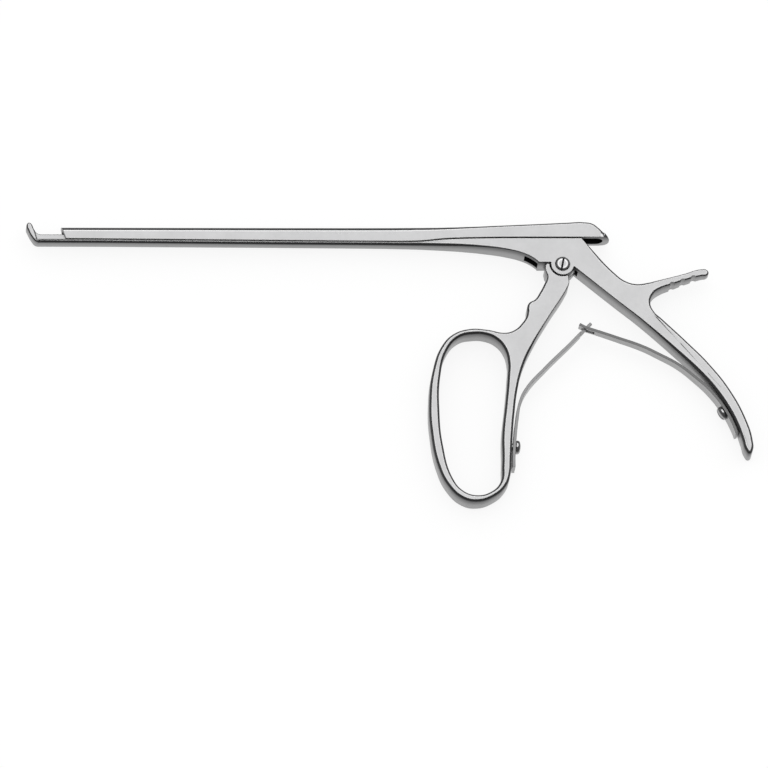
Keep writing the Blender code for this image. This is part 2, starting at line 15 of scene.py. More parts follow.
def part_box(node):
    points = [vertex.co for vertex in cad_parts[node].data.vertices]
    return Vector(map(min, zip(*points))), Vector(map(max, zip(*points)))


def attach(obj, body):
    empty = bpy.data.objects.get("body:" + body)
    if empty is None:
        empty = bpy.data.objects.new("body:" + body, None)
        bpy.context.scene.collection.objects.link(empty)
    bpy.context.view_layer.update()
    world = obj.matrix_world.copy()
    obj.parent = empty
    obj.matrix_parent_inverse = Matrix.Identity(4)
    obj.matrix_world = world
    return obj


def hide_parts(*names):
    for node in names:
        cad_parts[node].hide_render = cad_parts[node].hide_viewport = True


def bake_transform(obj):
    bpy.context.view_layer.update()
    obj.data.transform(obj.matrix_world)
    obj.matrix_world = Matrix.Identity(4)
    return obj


bl_info = {
    "name": "Laminectomy Punch",
    "version": (1, 0, 0),
    "blender": (4, 5, 0),
    "location": "3D View > Sidebar > Punch",
    "description": "Builds a long-shafted bone punch with its steel finishes and a plain stage",
    "category": "Object",
}

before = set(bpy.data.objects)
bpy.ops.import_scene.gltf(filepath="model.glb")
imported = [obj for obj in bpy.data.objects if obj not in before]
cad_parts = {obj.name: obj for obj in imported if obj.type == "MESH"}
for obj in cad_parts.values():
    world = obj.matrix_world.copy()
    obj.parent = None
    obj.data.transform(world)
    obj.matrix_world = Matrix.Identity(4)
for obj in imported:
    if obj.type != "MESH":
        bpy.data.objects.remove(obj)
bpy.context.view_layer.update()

MM = 0.001
# Cutters reach past a face by this much
PAST = MM
THICK = round(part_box("frame")[1].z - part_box("frame")[0].z, 4)
MIDDLE = THICK / 2
SMOOTH = math.radians(35)
FLAT = math.radians(0.08)
WELD = 0.000002
WIDEST = 0.0015


def smooth(*points):
    """Points in millimetres that an outline passes without a corner."""
    return tuple((*point, "smooth") for point in points)


# Side views in millimetres, seen from the upper broad side
FOOTPLATE = (
    *smooth((-208.5, 17.1), (-207.7, 18.1), (-206.8, 17.8), (-205.75, 15.6)),
    (-204.4, 11.1),
)
BAR_TOP = (
    (-62.0, 10.0),
    *smooth((-54.0, 10.2), (-46.0, 10.9)),
    (-38.0, 11.1), (7.9, 11.1),
    *smooth((10.6, 7.75), (20.6, -3.8), (24.0, -6.6), (28.1, -8.0), (32.5, -7.7), (39.8, -5.85),
            (47.3, -3.55), (54.6, -1.2)),
)
PRONG = smooth(
    (56.4, -1.3), (57.3, -2.5), (56.5, -3.8), (54.6, -4.1), (47.2, -6.4), (42.2, -8.3),
    (38.2, -9.9), (35.2, -12.2), (33.8, -15.9), (34.9, -19.4)
)
REAR_HANDLE = smooth(
    (38.2, -22.8), (48.1, -33.0), (55.5, -41.2), (63.4, -52.3), (69.5, -65.3), (71.55, -73.5),
    (71.5, -77.4), (70.1, -79.3), (68.5, -77.6), (67.4, -73.4), (65.4, -66.9), (62.2, -59.9),
    (57.1, -51.7), (51.8, -45.2), (43.9, -37.0), (28.7, -22.2), (20.8, -15.4)
)
BAR_UNDERSIDE = (
    (-4.6, 0.65), (-9.5, 0.65), (-9.6, 1.1),
    *smooth((-11.5, 2.6), (-14.7, 4.3), (-20.6, 6.0), (-31.0, 7.4), (-51.0, 8.4)),
    (-70.0, 8.8), (-182.0, 9.7), (-204.2, 9.75),
    *smooth((-205.4, 10.4), (-206.6, 12.0), (-207.8, 14.4)),
)
SHAFT_PLAN = (
    *smooth((-60.0, 1.65), (-49.0, 1.25), (-37.0, 0.65), (-25.0, 0.15)),
    (-14.0, 0.0),
)
SLIDE_SIDE = (
    (-195.0, 16.55), (-60.0, 16.5),
    *smooth((-43.0, 16.25), (-30.0, 16.35), (-12.0, 17.0), (2.0, 17.7), (8.5, 17.95),
            (12.5, 17.25)),
    (14.9, 15.35), (18.9, 11.4), (-38.0, 11.4),
    *smooth((-46.0, 11.2), (-54.0, 10.5)),
    (-62.0, 10.3), (-193.3, 11.4),
)
SLIDE_NOSE_PLAN = (
    (15.2, 0.0),
    *smooth((17.4, 0.7), (18.7, 2.5), (19.0, 4.5), (18.7, 6.5), (17.4, 8.3)),
    (15.2, 9.0),
)
RAIL = (
    (-15.0, 9.2), (-15.0, 13.4), (-203.0, 13.4), (-204.1, 13.65), (-204.9, 14.3), (-205.6, 15.6),
    (-206.9, 15.6), (-204.9, 11.4), (-204.0, 10.3),
)
RING_FRONT = (
    (-5.0, 0.35), (-6.2, 0.3),
    *smooth((-6.75, -0.6), (-6.7, -2.9), (-6.1, -4.9), (-7.5, -8.4), (-9.2, -11.6),
            (-11.2, -14.6), (-13.6, -16.1), (-14.4, -17.8), (-14.5, -20.0), (-15.2, -22.4),
            (-16.6, -24.5), (-19.3, -27.2), (-23.0, -28.55)),
)
RING_OUTER = smooth(
    (-30.5, -27.3), (-37.0, -27.0), (-43.6, -29.2), (-48.2, -34.0), (-52.1, -44.2),
    (-54.0, -58.0), (-53.8, -70.0), (-51.5, -84.2), (-47.8, -92.6), (-42.5, -97.9),
    (-36.8, -99.3), (-30.0, -97.1), (-25.2, -92.6), (-23.3, -87.5)
)
RING_BACK = (
    *smooth((-22.7, -81.0), (-22.0, -72.0), (-20.9, -62.0), (-19.5, -52.8), (-16.9, -42.9),
            (-12.0, -32.2), (-5.8, -21.6), (1.2, -10.5), (2.35, -7.8)),
    (2.2, -5.6),
)
RING_HOLE = smooth(
    (-36.0, -29.3), (-41.5, -30.7), (-46.2, -36.0), (-49.3, -47.0), (-50.1, -62.0),
    (-49.2, -75.5), (-45.8, -89.4), (-42.0, -94.5), (-36.8, -96.4), (-31.4, -95.1),
    (-27.5, -91.2), (-26.5, -84.0), (-26.0, -71.0), (-24.3, -58.0), (-23.1, -47.5),
    (-22.7, -40.8), (-24.0, -35.3), (-27.0, -31.5), (-31.0, -29.6)
)

# Spring blades from root to tip: x, y and share of the full width
FRONT_BLADE = (
    (-21.82, -84.5, 1.0), (-21.70, -80.5, 1.0), (-21.05, -73.0, 1.0), (-20.0, -65.0, 0.96),
    (-18.4, -57.0, 0.88), (-16.0, -51.9, 0.80), (-8.0, -42.6, 0.66), (2.6, -31.9, 0.58),
    (8.5, -25.6, 0.52), (10.6, -23.4, 0.50),
)
REAR_BLADE = (
    (65.5, -70.25, 1.0), (64.5, -67.2, 1.0), (61.4, -60.4, 1.0), (56.2, -52.7, 0.90),
    (50.0, -46.4, 0.78), (43.7, -41.1, 0.72), (36.7, -37.0, 0.68), (30.4, -33.7, 0.65),
    (20.8, -30.0, 0.60), (11.1, -26.5, 0.56), (8.5, -25.6, 0.56), (6.0, -24.2, 0.56),
)

# Spring screws: place on the handle's edge and the way out of it
FRONT_SCREW = ((-22.20, -75.00), (0.9965, -0.084))
REAR_SCREW = ((62.20, -59.90), (-0.863, -0.505))

# Radii about the pivot, in millimetres for outlines and in metres for cutters
EAR_OUTLINE, SHOULDER_OUTLINE = 4.65, 4.95
DISC, DISC_ROOM = 0.0053, 0.0066
HEAD_ROOM, HEAD_SINK = 0.00282, 0.0006

# Shaft, prong and lever
PLAN_FRONT, PLAN_REAR = -220, 85
RAIL_HALF = 0.0017
PRONG_ROOT, PRONG_END, PRONG_TAPER = 35, 59, 2.5
GROOVE_FIRST, GROOVE_LAST = (42.9, -8.52, 4.5), (51.4, -5.42, 4.5)
LEVER_LEAN = 21.8
LEVER_ROOT, LEVER_TIP = 1.5, 14.8
LEVER_ROOT_HALF, LEVER_TIP_HALF, LEVER_NOSE = 2.7, 1.1, 0.0014

# Channel in the slide's rear end, in millimetres: start, middle of its round end and radius
CHANNEL_START, CHANNEL_END, CHANNEL_RADIUS = 2.8, 13.6, 2.8

# Cuts across the broad sides, in metres: two corners of the side view
TONGUE_SLOT = ((-0.0145, -0.002), (-0.0095, 0.020))
LEVER_SLOT = ((-0.0105, 0.0024), (0.0065, 0.020))
RAIL_GROOVE = ((-0.220, 0), (-0.0034, 0.0137))
TIP_CUP = ((-0.220, 0), (-0.1845, 0.0152))
LEVER_POCKET = ((0.00385, 0.010), (0.00715, 0.01635))
BLADE_SLOT = ((0.0069, -0.030), (0.0118, 0))

# Screws, in metres
PIVOT_SHANK, SPRING_SHANK, SHANK_DEPTH = 0.00175, 0.0014, 0.0015
SPRING_BORE, SPRING_HOLE = 0.0017, 0.0019
SLOT_DEPTH, HEAD_HEIGHT, SEAT_GAP = 0.0006, 0.0018, 0.0003
SLOT_TURN = 78

# Camera's axes and target, fitted to the photograph
CAMERA_RIGHT, CAMERA_UP = (0.99628, -0.03228, 0.0798), (0, 0.9273, 0.3743)
CAMERA_TARGET = (-71.04, -48.8, 5.0)


def length(name, text, value):
    """A size in metres that the sidebar shows."""
    return bpy.props.FloatProperty(
        name=name, description=text, default=value, min=0.0, unit="LENGTH", precision=5)


def colour(name, text, value):
    """A colour that the sidebar shows."""
    return bpy.props.FloatVectorProperty(
        name=name, description=text, default=value, min=0.0, max=1.0, subtype="COLOR")


def share(name, text, value, top=1.0):
    """A plain number from nought up that the sidebar shows."""
    return bpy.props.FloatProperty(name=name, description=text, default=value, min=0.0, max=top)


class PunchSizes(bpy.types.PropertyGroup):
    """Sizes of the detail that the pieces carry."""

    shaft_width: length("Shaft width", "Width of the straight shaft across its broad sides", 0.0057)
    body_rounding: length("Body rounding", "Edge rounding of the body round the pivot", 0.00035)
    back_rounding: length("Back rounding", "Edge rounding of the upper back edges", 0.0013)
    shaft_rounding: length("Shaft rounding", "Edge rounding under the shaft", 0.0013)
    tip_rounding: length("Tip rounding", "Edge rounding of the footplate", 0.0007)
    slide_rounding: length("Slide rounding", "Edge rounding on top of the sliding bar", 0.0023)
    ring_rounding: length("Ring rounding", "Edge rounding of the finger ring", 0.00125)
    tongue: length("Tongue", "Thickness of the ring handle's tongue in the body", 0.004)
    tongue_gap: length("Tongue gap", "Clearance on each side of the tongue", 0.0003)
    bore: length("Bore", "Radius of the bore for the pivot screw", 0.00185)
    groove_count: bpy.props.IntProperty(
        name="Grooves", description="Finger grooves under the prong", default=3, min=1, max=6)
    groove_radius: length("Groove radius", "Radius of one finger groove", 0.0012)
    blade_width: length("Blade width", "Width of a spring blade at its root", 0.0065)
    blade_thickness: length("Blade thickness", "Thickness of a spring blade", 0.0011)
    head_radius: length("Head radius", "Radius of a screw head", 0.0027)
    screw_slot: length("Screw slot", "Width of the slot in a screw head", 0.0007)
    thread_pitch: length("Thread pitch", "Distance between the turns of a screw thread", 0.0004)
    thread_ridge: length("Thread ridge", "Height of a screw thread", 0.00014)


class PunchFinish(bpy.types.PropertyGroup):
    """Colours and textures of the steels."""

    face: colour("Broad faces", "Satin steel of the broad faces", (0.64, 0.64, 0.645))
    # Painted shade: the walls are coloured darker than the broad faces.
    wall: colour("Walls", "Ground steel of the walls", (0.33, 0.33, 0.332))
    # Painted shade: the walls grow darker still towards their top.
    shade: colour("Upper walls", "Darker burnish of the walls towards their top",
                  (0.09, 0.09, 0.091))
    # Painted shade: a darker band along the shaft's broad face under the slide.
    strip: colour("Shaft strip", "Burnished strip of the shaft under the slide",
                  (0.24, 0.24, 0.242))
    # Painted dark reflection: a dark line along the rounded rims.
    rim: colour("Rims", "Dark burnished line along the rounded rims", (0.045, 0.045, 0.046))
    # Painted highlight: a bright line next to the rims.
    glint: colour("Glints", "Steel polished by handling next to the rims", (0.92, 0.92, 0.92))
    spring: colour("Spring faces", "Tempered steel of the blades' wide sides", (0.36, 0.36, 0.36))
    leaf: colour("Spring edges", "Tempered steel of the blades' thin edges", (0.20, 0.20, 0.20))
    screw: colour("Screws", "Polished steel of the screws", (0.66, 0.66, 0.665))
    # Painted shade: near black steel inside slots and channels.
    recess: colour("Recesses", "Oiled dark steel inside slots and channels", (0.025, 0.025, 0.026))
    roughness: share("Roughness", "Roughness of the satin steel", 0.30)
    grain: share("Grain", "Depth of the brushed grain", 0.22)
    mottling: share("Mottling", "Faint cloudiness of the satin faces", 0.05)


class PunchStage(bpy.types.PropertyGroup):
    """Floor, light and camera."""

    floor: colour("Floor", "Colour of the floor", (0.18, 0.18, 0.18))
    floor_size: length("Floor size", "Width of the floor", 6.0)
    lens: bpy.props.FloatProperty(
        name="Lens", description="Focal length of the camera", default=800.0, min=20.0,
        subtype="DISTANCE_CAMERA")
    across: length("Across", "Width that the picture shows at the punch", 0.298)
    sky: share("Sky", "Strength of the studio's soft light", 1.0, 5.0)


def pull(value, start, end):
    """Share from 0 to 1 of the way between two places, eased at both ends."""
    way = min(max((value - start) / (end - start), 0), 1)
    return way * way * (3 - 2 * way)


# Shapes

def add_piece(name, mesh):
    """Link a new object with its mesh into the scene."""
    made = bpy.data.objects.new(name, mesh)
    bpy.context.scene.collection.objects.link(made)
    return made


def from_shape(name, shape):
    """New object with a shape as its mesh; the shape is used up."""
    mesh = bpy.data.meshes.new(name)
    shape.to_mesh(mesh)
    shape.free()
    return add_piece(name, mesh)


def plain_mesh(piece):
    """Plain mesh of an object as its curves and modifiers make it."""
    bpy.context.view_layer.update()
    graph = bpy.context.evaluated_depsgraph_get()
    return bpy.data.meshes.new_from_object(piece.evaluated_get(graph))


def settle(piece):
    """Make a piece's modifiers part of its plain mesh."""
    mesh = plain_mesh(piece)
    piece.modifiers.clear()
    piece.data = mesh


def weld(mesh):
    """Merge doubled points, drop needless ones and turn the faces outwards."""
    shape = bmesh.new()
    shape.from_mesh(mesh)
    bmesh.ops.remove_doubles(shape, verts=shape.verts, dist=WELD)
    bmesh.ops.dissolve_limit(shape, angle_limit=FLAT, verts=shape.verts, edges=shape.edges)
    bmesh.ops.recalc_face_normals(shape, faces=shape.faces)
    shape.to_mesh(mesh)
    shape.free()


def drawn_curve(name, points, closed, fine):
    """Curve object through points in millimetres; a point with a third value is smooth."""
    curve = bpy.data.curves.new(name, "CURVE")
    curve.dimensions = "2D"
    spline = curve.splines.new("BEZIER")
    spline.bezier_points.add(len(points) - 1)
    spline.use_cyclic_u = closed
    spline.resolution_u = fine
    for knot, point in zip(spline.bezier_points, points):
        knot.co = (point[0] * MM, point[1] * MM, 0)
        kind = "AUTO" if len(point) > 2 else "VECTOR"
        knot.handle_left_type = knot.handle_right_type = kind
    return add_piece(name + "_drawn", curve)


def outline_mesh(name, outline, fill_mode, thickness):
    """Closed outline in millimetres as a mesh, filled and thickened or as a bare loop."""
    drawn = drawn_curve(name, outline, True, 12)
    drawn.data.fill_mode = fill_mode
    drawn.data.extrude = thickness / 2
    mesh = plain_mesh(drawn)
    bpy.data.objects.remove(drawn)
    return mesh


def plate(name, outline, low, high):
    """Closed outline in millimetres made solid between two heights."""
    mesh = outline_mesh(name, outline, "BOTH", high - low)
    mesh.transform(Matrix.Translation((0, 0, (high + low) / 2)))
    weld(mesh)
    return add_piece(name, mesh)


def flared_hole(name, outline, rounding):
    """Cutter for a hole whose rims are rounded; its outline runs anticlockwise."""
    loop = [vert.co.to_2d() for vert in outline_mesh(name, outline, "NONE", 0).vertices]
    count = len(loop)
    outward = []
    for i in range(count):
        run = (loop[(i + 1) % count] - loop[i - 1]).normalized()
        outward.append(Vector((run.y, -run.x)))
    levels = [(-PAST, rounding)]
    for degrees in range(90, -1, -15):
        angle = math.radians(degrees)
        levels.append((rounding * (1 - math.sin(angle)), rounding * (1 - math.cos(angle))))
    levels += [(THICK - level, offset) for level, offset in reversed(levels)]
    shape = bmesh.new()
    rows = []
    for level, offset in levels:
        rows.append([shape.verts.new((*(spot + way * offset), level))
                     for spot, way in zip(loop, outward)])
    for under, over in zip(rows, rows[1:]):
        for i in range(count):
            j = (i + 1) % count
            shape.faces.new((under[i], under[j], over[j], over[i]))
    shape.faces.new(rows[0])
    shape.faces.new(rows[-1])
    bmesh.ops.remove_doubles(shape, verts=shape.verts, dist=WELD)
    bmesh.ops.recalc_face_normals(shape, faces=shape.faces)
    return from_shape(name, shape)


def lay_in_plan(piece):
    """Stand an outline's Y along Z, so that it trims a side view from above."""
    piece.data.transform(Matrix.Rotation(math.radians(90), 4, "X"))
    return piece


def arc(radius, start, end, steps):
    """Points in millimetres along an arc about the pivot, angles in degrees."""
    points = []
    for step in range(steps + 1):
        angle = math.radians(start + (end - start) * step / steps)
        points.append((radius * math.cos(angle), radius * math.sin(angle)))
    return tuple(points)


def block(low, high):
    """Box between two corners, for cutting."""
    shape = bmesh.new()
    bmesh.ops.create_cube(shape, size=1)
    for vert in shape.verts:
        vert.co = [low[i] + (vert.co[i] + 0.5) * (high[i] - low[i]) for i in range(3)]
    return from_shape("block", shape)


def rod(radius, start, end, steps=48):
    """Cylinder between two points, for cutting or joining."""
    start, end = Vector(start), Vector(end)
    shape = bmesh.new()
    bmesh.ops.create_cone(
        shape, cap_ends=True, segments=steps, radius1=radius, radius2=radius,
        depth=(end - start).length)
    made = from_shape("rod", shape)
    turn = (end - start).to_track_quat("Z", "Y").to_matrix().to_4x4()
    made.data.transform(Matrix.Translation((start + end) / 2) @ turn)
    return made


def combine(piece, other, operation, solver="EXACT"):
    """Cut, join or trim a piece by another one, which is used up."""
    step = piece.modifiers.new("combine", "BOOLEAN")
    step.object = other
    step.operation = operation
    step.solver = solver
    settle(piece)
    bpy.data.objects.remove(other)


def cut(piece, *cutters):
    """Take cutters away from a piece, one after the other."""
    for cutter in cutters:
        combine(piece, cutter, "DIFFERENCE")


def across(corners, half):
    """Box about the middle plane between two corners of the side view, for cutting."""
    low, high = corners
    return block((*low, MIDDLE - half), (*high, MIDDLE + half))


def pin(radius, low, high, steps=48, at=(0, 0)):
    """Cylinder square to the broad sides, at the pivot or elsewhere."""
    return rod(radius, (*at, low), (*at, high), steps)


def round_edges(piece, width_at, widest):
    """Round the sharp edges that lie in the broad sides, each by the width its place asks for."""
    shape = bmesh.new()
    shape.from_mesh(piece.data)
    weight = shape.edges.layers.float.new("bevel_weight_edge")
    for edge in shape.edges:
        run = edge.verts[1].co - edge.verts[0].co
        upright = abs(run.z) > 0.8 * run.length
        if edge.is_manifold and not upright and edge.calc_face_angle() > SMOOTH:
            middle = (edge.verts[0].co + edge.verts[1].co) / 2
            edge[weight] = width_at(middle) / widest
    shape.to_mesh(piece.data)
    shape.free()
    step = piece.modifiers.new("rounded_edges", "BEVEL")
    step.width = widest
    step.segments = 5
    step.limit_method = "WEIGHT"
    step.use_clamp_overlap = False
    heights = [vert.co.z for vert in piece.data.vertices]
    floor, ceiling = min(heights), max(heights)
    settle(piece)
    for vert in piece.data.vertices:
        vert.co.z = min(max(vert.co.z, floor), ceiling)


def dress(piece, surface):
    """Give a piece its finish and its shading: flat broad faces and smooth rounded edges."""
    piece.data.materials.clear()
    piece.data.materials.append(surface)
    piece.data.polygons.foreach_set("material_index", [0] * len(piece.data.polygons))
    piece.data.shade_smooth()
    piece.data.set_sharp_from_angle(angle=SMOOTH)
    step = piece.modifiers.new("even_shading", "WEIGHTED_NORMAL")
    step.keep_sharp = True
    step.weight = 60


def within(low, high):
    """Test of a point that lies between two corners."""
    return lambda spot: all(low[i] < spot[i] < high[i] for i in range(3))


def blacken(piece, inside):
    """Give the faces that lie wholly inside a slot or channel near black steel, as painted shade.
    """
    mesh = piece.data
    if len(mesh.materials) < 2:
        mesh.materials.append(finish_of("painted_recess_shade"))
    for face in mesh.polygons:
        if all(inside(mesh.vertices[index].co) for index in face.vertices):
            face.material_index = 1


def stand_for(piece, node, body, surface, recesses=()):
    """Finish a piece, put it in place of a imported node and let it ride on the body."""
    dress(piece, surface)
    for inside in recesses:
        blacken(piece, inside)
    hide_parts(node)
    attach(piece, body)


# Node trees

def tree(name, inputs, masks=()):
    """New tree, its inputs' sockets and its output node; with masks it is a shader's.

    An input's value is its default, or the kind of its socket where it has none.
    """
    kind, socket = ("Shader", "Float") if masks else ("Geometry", "Geometry")
    made = bpy.data.node_groups.new(name, kind + "NodeTree")
    for label, value in inputs.items():
        plain = isinstance(value, str)
        word = value if plain else type(value).__name__.capitalize()
        new = made.interface.new_socket(label, in_out="INPUT", socket_type="NodeSocket" + word)
        if not plain:
            new.default_value = value
    for label in masks or ("Geometry",):
        made.interface.new_socket(label, in_out="OUTPUT", socket_type="NodeSocket" + socket)
    return made, made.nodes.new("NodeGroupInput").outputs, made.nodes.new("NodeGroupOutput")


def fill(made, new, values):
    """Join or fill a node's inputs by number or name; a node stands for its first output."""
    for key, value in values.items():
        if isinstance(value, bpy.types.Node):
            value = value.outputs[0]
        if isinstance(value, bpy.types.NodeSocket):
            made.links.new(value, new.inputs[key])
        else:
            new.inputs[key].default_value = value
    return new


def node(made, kind, inputs=None, **values):
    """Add a node, set its own values and join or fill its inputs."""
    new = made.nodes.new(kind)
    for key, value in values.items():
        setattr(new, key, value)
    return fill(made, new, inputs or {})


def maths(made, operation, *values):
    """Math node on numbers or other nodes."""
    return node(made, "ShaderNodeMath", dict(enumerate(values)), operation=operation)


def spread(made, value, low, high, start=0.0, end=1.0, **values):
    """Map Range node from one span of a value to another."""
    return node(made, "ShaderNodeMapRange", {
        "Value": value, "From Min": low, "From Max": high, "To Min": start, "To Max": end},
        **values)


def noise(made, vector, scale, detail, roughness=0.5):
    """Noise Texture node."""
    return node(made, "ShaderNodeTexNoise", {
        "Vector": vector, "Scale": scale, "Detail": detail, "Roughness": roughness})


def tinted(made, mask, low, high):
    """Colour that goes from one to the other as the mask grows."""
    pair = [(*tone, 1.0) if isinstance(tone, tuple) else tone for tone in (low, high)]
    return node(made, "ShaderNodeMix", {"Factor": mask, 6: pair[0], 7: pair[1]},
                data_type="RGBA").outputs[2]


def grow(name, made, values):
    """New object whose plain mesh is what a Geometry Nodes tree makes."""
    grown = add_piece(name, bpy.data.meshes.new(name))
    step = grown.modifiers.new(made.name, "NODES")
    step.node_group = made
    for item in made.interface.items_tree:
        if item.in_out == "INPUT" and item.name in values:
            step[item.identifier] = values[item.name]
    settle(grown)
    return grown


def end_tree(made, given, end, geometry):
    """End a tree in Realize Instances and Set Material."""
    real = node(made, "GeometryNodeRealizeInstances", {"Geometry": geometry})
    done = node(made, "GeometryNodeSetMaterial", {"Geometry": real, "Material": given["Material"]})
    fill(made, end, {"Geometry": done})
    return made


def groove_tree():
    """Cylinders evenly spaced along a line, for cutting finger grooves."""
    made, given, end = tree("finger_grooves", {
        "Count": 3, "First": "Vector", "Step": "Vector", "Radius": 0.001, "Depth": 0.01,
        "Material": "Material"})
    line = node(made, "GeometryNodeMeshLine", {
        "Count": given["Count"], "Start Location": given["First"], "Offset": given["Step"]})
    drum = node(made, "GeometryNodeMeshCylinder", {
        "Vertices": 40, "Radius": given["Radius"], "Depth": given["Depth"]})
    row = node(made, "GeometryNodeInstanceOnPoints", {"Points": line, "Instance": drum})
    return end_tree(made, given, end, row)


def thread_tree():
    """Ridge that winds round a screw's shank."""
    made, given, end = tree("screw_thread", {
        "Radius": 0.0017, "Pitch": 0.0004, "Turns": 4.0, "Ridge": 0.0001,
        "Material": "Material"})
    coil = node(made, "GeometryNodeCurveSpiral", {
        "Resolution": 28, "Rotations": given["Turns"], "Start Radius": given["Radius"],
        "End Radius": given["Radius"],
        "Height": maths(made, "MULTIPLY", given["Pitch"], given["Turns"])})
    edge = node(made, "GeometryNodeCurvePrimitiveCircle", {
        "Resolution": 4, "Radius": given["Ridge"]})
    swept = node(made, "GeometryNodeCurveToMesh", {
        "Curve": coil, "Profile Curve": edge, "Fill Caps": True})
    return end_tree(made, given, end, swept)


def blade_tree():
    """Flat blade swept along a path, whose width follows the path's radius."""
    made, given, end = tree("leaf_blade", {
        "Path": "Object", "Width": 0.0065, "Thickness": 0.001, "Middle": 0.0045, "Points": 90,
        "Material": "Material"})
    path = node(made, "GeometryNodeObjectInfo", {"Object": given["Path"]})
    even = node(made, "GeometryNodeResampleCurve", {
        "Curve": path.outputs["Geometry"], "Count": given["Points"]})
    kept = node(made, "GeometryNodeCaptureAttribute", {"Geometry": even})
    kept.capture_items.new("FLOAT", "Share")
    fill(made, kept, {"Share": node(made, "GeometryNodeInputRadius")})
    plain = node(made, "GeometryNodeSetCurveRadius", {"Curve": kept, "Radius": 1.0})
    section = node(made, "GeometryNodeCurvePrimitiveQuadrilateral", {
        "Width": given["Thickness"], "Height": given["Width"]})
    swept = node(made, "GeometryNodeCurveToMesh", {
        "Curve": plain, "Profile Curve": section, "Fill Caps": True})
    place = node(made, "ShaderNodeSeparateXYZ", {0: node(made, "GeometryNodeInputPosition")})
    less = maths(made, "SUBTRACT", kept.outputs["Share"], 1.0)
    shift = node(made, "ShaderNodeCombineXYZ", {
        "Z": maths(made, "MULTIPLY", place.outputs["Z"], less)})
    narrow = node(made, "GeometryNodeSetPosition", {"Geometry": swept, "Offset": shift})
    lift = node(made, "ShaderNodeCombineXYZ", {"Z": given["Middle"]})
    raised = node(made, "GeometryNodeTransform", {"Geometry": narrow, "Translation": lift})
    return end_tree(made, given, end, raised)


# Finishes

def grain_group():
    """Fine brushed lines along X, with their height and a light and dark mask."""
    made, given, end = tree(
        "brushed_grain", {"Vector": "Vector", "Lines": 2600.0, "Stretch": 0.03},
        ("Height", "Mask"))
    squeeze = node(made, "ShaderNodeCombineXYZ", {"X": given["Stretch"], "Y": 1.0, "Z": 1.0})
    spot = node(made, "ShaderNodeVectorMath", {0: given["Vector"], 1: squeeze},
                operation="MULTIPLY")
    fine = noise(made, spot, given["Lines"], 4.0, 0.65)
    broad = noise(made, spot, maths(made, "MULTIPLY", given["Lines"], 0.18), 2.0)
    both = node(made, "ShaderNodeMix", {"Factor": 0.35, "A": fine, "B": broad})
    fill(made, end, {"Height": both, "Mask": spread(made, both, 0.35, 0.65)})
    return made


def mottling_group():
    """Faint clouds of lighter and darker steel, as a factor about one."""
    made, given, end = tree(
        "satin_mottling", {"Vector": "Vector", "Scale": 90.0, "Amount": 0.05},
        ("Factor", "Mask"))
    large = noise(made, given["Vector"], given["Scale"], 3.0, 0.55)
    small = noise(made, given["Vector"], maths(made, "MULTIPLY", given["Scale"], 7.0), 2.0)
    both = node(made, "ShaderNodeMix", {"Factor": 0.3, "A": large, "B": small})
    swing = maths(made, "MULTIPLY", spread(made, both, 0.3, 0.7, -1.0), given["Amount"])
    fill(made, end, {"Factor": maths(made, "ADD", swing, 1.0), "Mask": both})
    return made


def scratch_group():
    """Sparse hairline scratches from handling, as a mask."""
    made, given, end = tree(
        "hairline_scratches", {"Vector": "Vector", "Scale": 160.0, "Width": 0.012}, ("Mask",))
    line = maths(made, "SUBTRACT", noise(made, given["Vector"], given["Scale"], 1.0), 0.5)
    thin = spread(made, maths(made, "ABSOLUTE", line), 0.0, given["Width"], 1.0, 0.0)
    gate = spread(made, noise(made, given["Vector"], 420.0, 0.0), 0.55, 0.62)
    fill(made, end, {"Mask": maths(made, "MULTIPLY", thin, gate)})
    return made


def sides_group():
    """Masks of walls, painted dark rims and painted highlights, from how far a surface leans over.

    Painted shade grows from the middle of the walls to their top, and lies on the shaft under the
    slide.
    """
    made, given, end = tree("walls_and_rims", {"Normal": "Vector", "Place": "Vector"},
                            ("Wall", "Rim", "Glint", "Shade", "Strip"))
    lean = node(made, "ShaderNodeSeparateXYZ", {0: given["Normal"]})
    up = maths(made, "ABSOLUTE", lean.outputs["Z"])
    eased = {"interpolation_type": "SMOOTHSTEP"}
    for label, low, low_full, high_full, high in (
            ("Wall", -0.2, -0.1, 0.30, 0.50), ("Rim", 0.30, 0.42, 0.950, 0.976),
            ("Glint", 0.965, 0.978, 0.987, 0.9935)):
        climb = spread(made, up, low, low_full, **eased)
        drop = spread(made, up, high_full, high, 1.0, 0.0, **eased)
        fill(made, end, {label: maths(made, "MULTIPLY", climb, drop)})
    spot = node(made, "ShaderNodeSeparateXYZ", {0: given["Place"]}).outputs
    along = spread(made, spot["X"], -0.045, -0.062)
    under = spread(made, spot["Y"], 0.0117, 0.0114)
    fill(made, end, {"Shade": spread(made, spot["Z"], THICK * 0.35, THICK * 0.98, **eased),
                     "Strip": maths(made, "MULTIPLY", along, under)})
    return made


